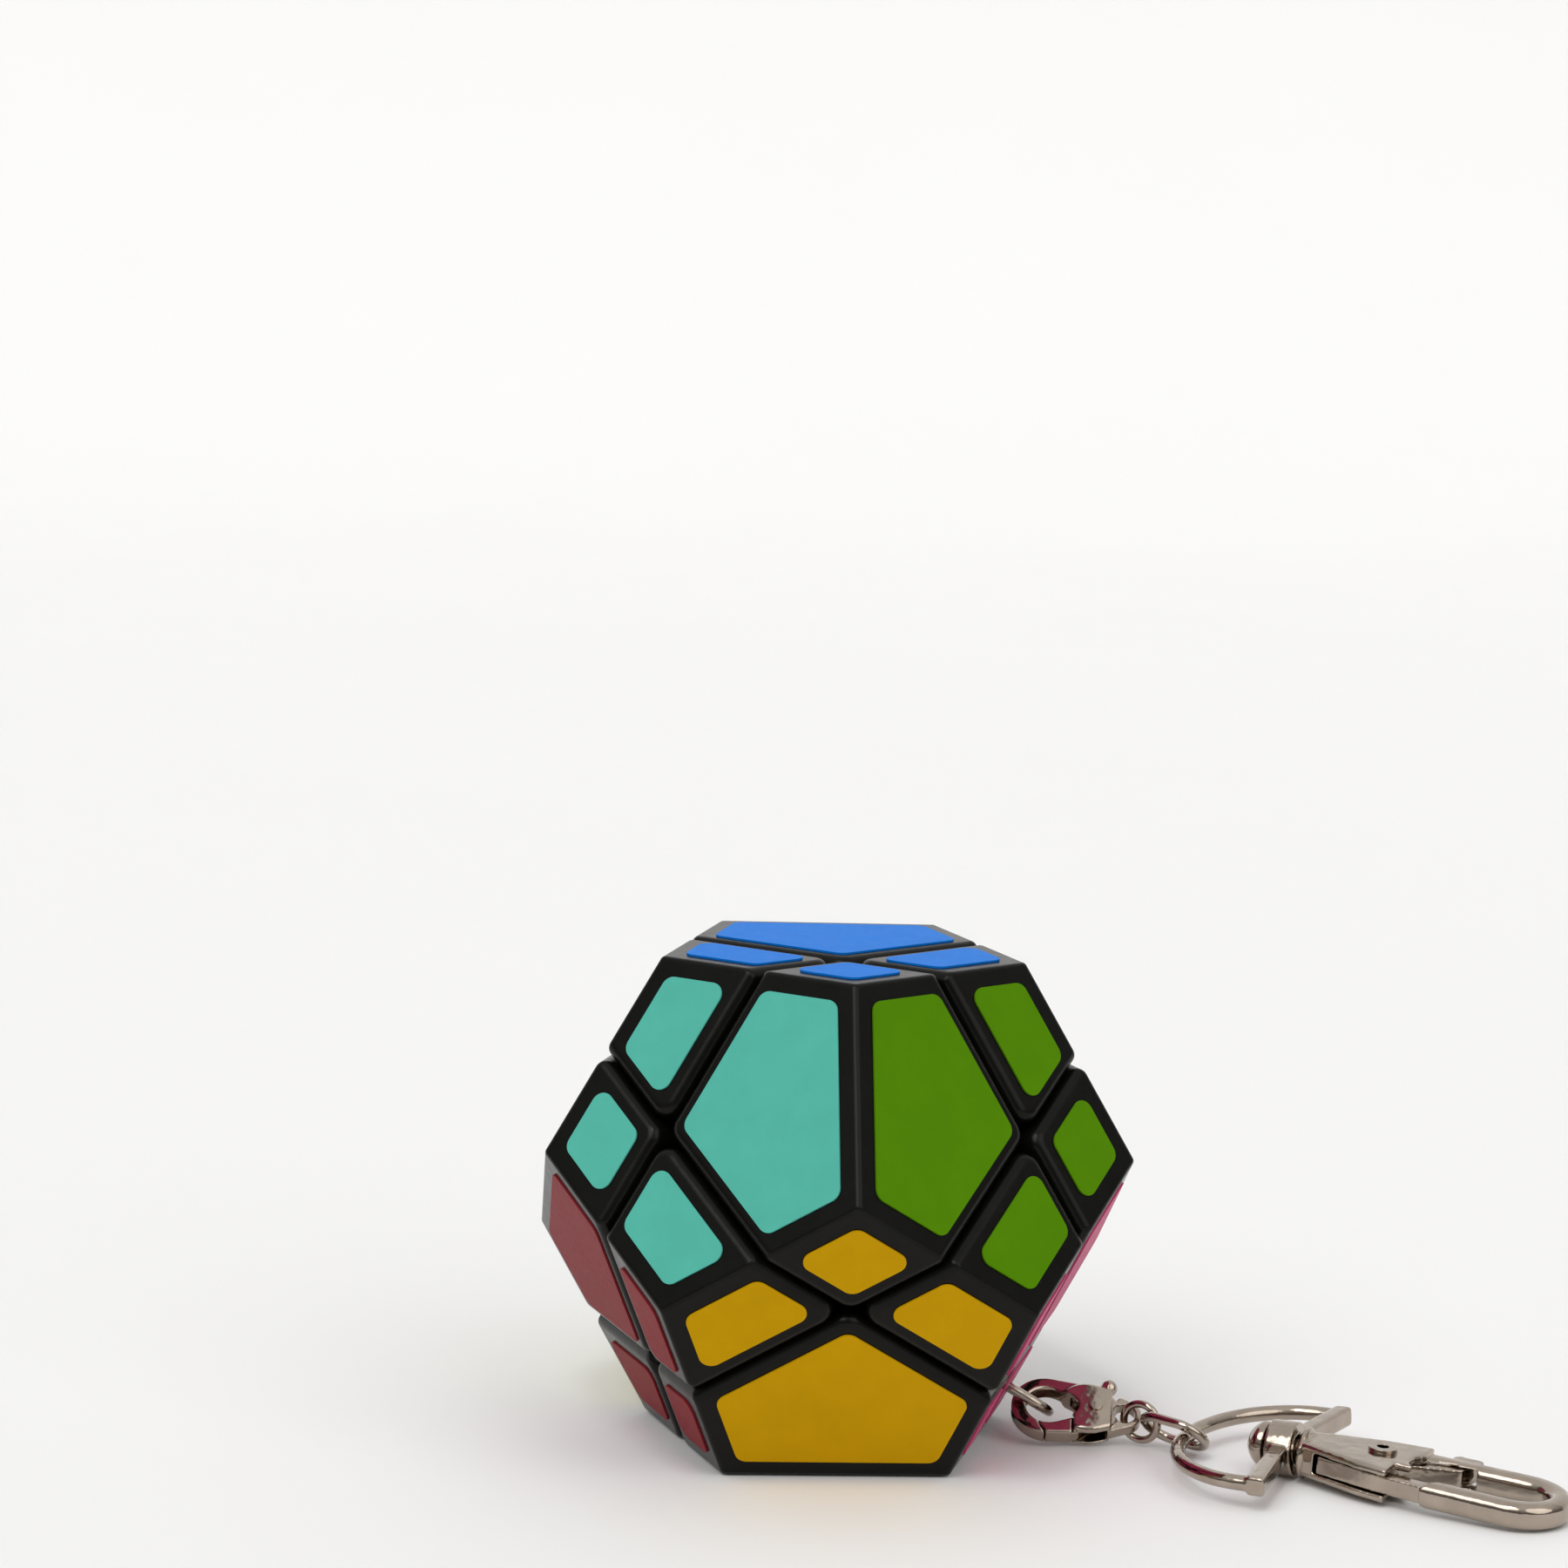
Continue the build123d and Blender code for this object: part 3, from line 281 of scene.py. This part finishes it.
# ---------------------------------------------------------------- rounded castings

# Each casting: the body that it rides on, the size of its mesh in millimetres and its smoothing passes
CASTINGS = {
    "hook_body": ("snap_hook", 0.11, 5),
    "hook_gate": ("hook_gate", 0.09, 3),
    "d_ring": ("d_ring", 0.11, 5),
    "clasp_body": ("clasp", 0.07, 6),
    "clasp_lever": ("clasp_lever", 0.07, 3),
}


def casting(name, body, grain, passes):
    """A die casting with the soft edges of its mould, remeshed from the CAD solid and smoothed."""
    work = bmesh.new()
    work.from_mesh(NODES[name].data)
    bmesh.ops.remove_doubles(work, verts=work.verts, dist=WELD)
    mesh = bpy.data.meshes.new(name + "_cast")
    work.to_mesh(mesh)
    work.free()
    rough = bpy.data.objects.new(name + "_rough", mesh)
    bpy.context.scene.collection.objects.link(rough)
    remesh = rough.modifiers.new("remesh", "REMESH")
    remesh.mode = "VOXEL"
    remesh.voxel_size = grain * MM
    smooth = rough.modifiers.new("smooth", "SMOOTH")
    smooth.factor = 0.5
    smooth.iterations = passes
    bpy.context.view_layer.update()
    shape = bpy.data.meshes.new_from_object(rough.evaluated_get(bpy.context.evaluated_depsgraph_get()))
    bpy.data.objects.remove(rough)
    shape.polygons.foreach_set("use_smooth", [True] * len(shape.polygons))
    piece = bpy.data.objects.new(name + "_cast", shape)
    bpy.context.scene.collection.objects.link(piece)
    paint(piece, CAST)
    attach(piece, body)
    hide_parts(name)


for name, (body, grain, passes) in CASTINGS.items():
    casting(name, body, grain, passes)


# ---------------------------------------------------------------- floor, light and camera


def floor():
    """A plain pale sweep: a floor that curves up into a backdrop."""
    work = bmesh.new()
    profile = [(-FLOOR_FRONT, 0.0), (FLOOR_BACK, 0.0)]
    for step in range(1, SWEEP_STEPS + 1):
        turn = math.pi / 2 * step / SWEEP_STEPS
        profile.append((FLOOR_BACK + SWEEP_R * math.sin(turn), SWEEP_R * (1 - math.cos(turn))))
    profile.append((FLOOR_BACK + SWEEP_R, WALL_TOP))
    rows = [[work.verts.new((x, y, z)) for y, z in profile] for x in (-FLOOR_HALF, FLOOR_HALF)]
    for i in range(len(profile) - 1):
        work.faces.new((rows[0][i], rows[1][i], rows[1][i + 1], rows[0][i + 1]))
    mesh = bpy.data.meshes.new("floor_sweep")
    work.to_mesh(mesh)
    work.free()
    sweep = bpy.data.objects.new("floor_sweep", mesh)
    bpy.context.scene.collection.objects.link(sweep)
    mesh.polygons.foreach_set("use_smooth", [True] * len(mesh.polygons))
    s = Shader("pale_floor")
    pale = s.ramp(s.noise(9.0, 2.0), [(0.3, (0.818, 0.818, 0.818)), (0.7, (0.826, 0.826, 0.826))])
    s.join(pale, s.surface.inputs["Base Color"])
    s.surface.inputs["Roughness"].default_value = 0.7
    paint(sweep, s.material)


def sun(name, azimuth, height, strength, softness, tint=(1.0, 1.0, 1.0)):
    """A far, soft light from a bearing, clockwise from the front as seen from above, and a height."""
    lamp = bpy.data.lights.new(name, "SUN")
    lamp.energy = strength
    lamp.angle = math.radians(softness)
    lamp.color = tint
    holder = bpy.data.objects.new(name, lamp)
    turn, rise = math.radians(azimuth), math.radians(height)
    source = Vector((-math.sin(turn) * math.cos(rise), -math.cos(turn) * math.cos(rise), math.sin(rise)))
    holder.rotation_euler = source.to_track_quat("Z", "Y").to_euler()
    bpy.context.scene.collection.objects.link(holder)


def sky():
    """A studio ceiling that glows, with dimmer walls that the camera itself sees as pale."""
    world = bpy.data.worlds.new("studio")
    bpy.context.scene.world = world
    world.use_nodes = True
    tree = world.node_tree
    place = tree.nodes.new("ShaderNodeTexCoord")
    split = tree.nodes.new("ShaderNodeSeparateXYZ")
    ramp = tree.nodes.new("ShaderNodeValToRGB")
    elements = ramp.color_ramp.elements
    elements[0].position, elements[0].color = 0.02, (0.07, 0.065, 0.06, 1.0)
    elements[1].position, elements[1].color = 0.85, (1.0, 1.0, 1.0, 1.0)
    middle = elements.new(0.35)
    middle.color = (0.40, 0.39, 0.375, 1.0)
    tree.links.new(place.outputs["Generated"], split.inputs["Vector"])
    tree.links.new(split.outputs["Z"], ramp.inputs["Fac"])
    rays = tree.nodes.new("ShaderNodeLightPath")
    seen = tree.nodes.new("ShaderNodeMixRGB")
    seen.inputs["Color2"].default_value = BACKDROP
    tree.links.new(rays.outputs["Is Camera Ray"], seen.inputs["Fac"])
    tree.links.new(ramp.outputs["Color"], seen.inputs["Color1"])
    tree.links.new(seen.outputs["Color"], tree.nodes["Background"].inputs["Color"])
    tree.nodes["Background"].inputs["Strength"].default_value = SKY_STRENGTH


def lights():
    """The sky, a broad key light, a small sharp one for the highlights and a warm fill."""
    sky()
    sun("key", 38.0, 48.0, 1.05, 40.0)
    sun("glint", 24.0, 62.0, 0.25, 9.0)
    sun("fill", -42.0, 35.0, 0.7, 50.0, (1.0, 0.98, 0.95))


def camera():
    """The camera at the photograph's viewing angle."""
    lens = bpy.data.cameras.new("camera")
    lens.lens = LENS
    lens.sensor_width = SENSOR
    lens.clip_start = CLIP_NEAR
    holder = bpy.data.objects.new("camera", lens)
    turn = Matrix.Rotation(math.radians(-CAMERA_AZIMUTH), 4, "Z")
    drop = Matrix.Rotation(math.radians(90 - CAMERA_DROP), 4, "X")
    roll = Matrix.Rotation(math.radians(CAMERA_ROLL), 4, "Z")
    holder.matrix_world = Matrix.Translation(CAMERA_PLACE) @ turn @ drop @ roll
    bpy.context.scene.collection.objects.link(holder)
    bpy.context.scene.camera = holder
    bpy.context.scene.view_settings.view_transform = "Standard"


floor()
lights()
camera()
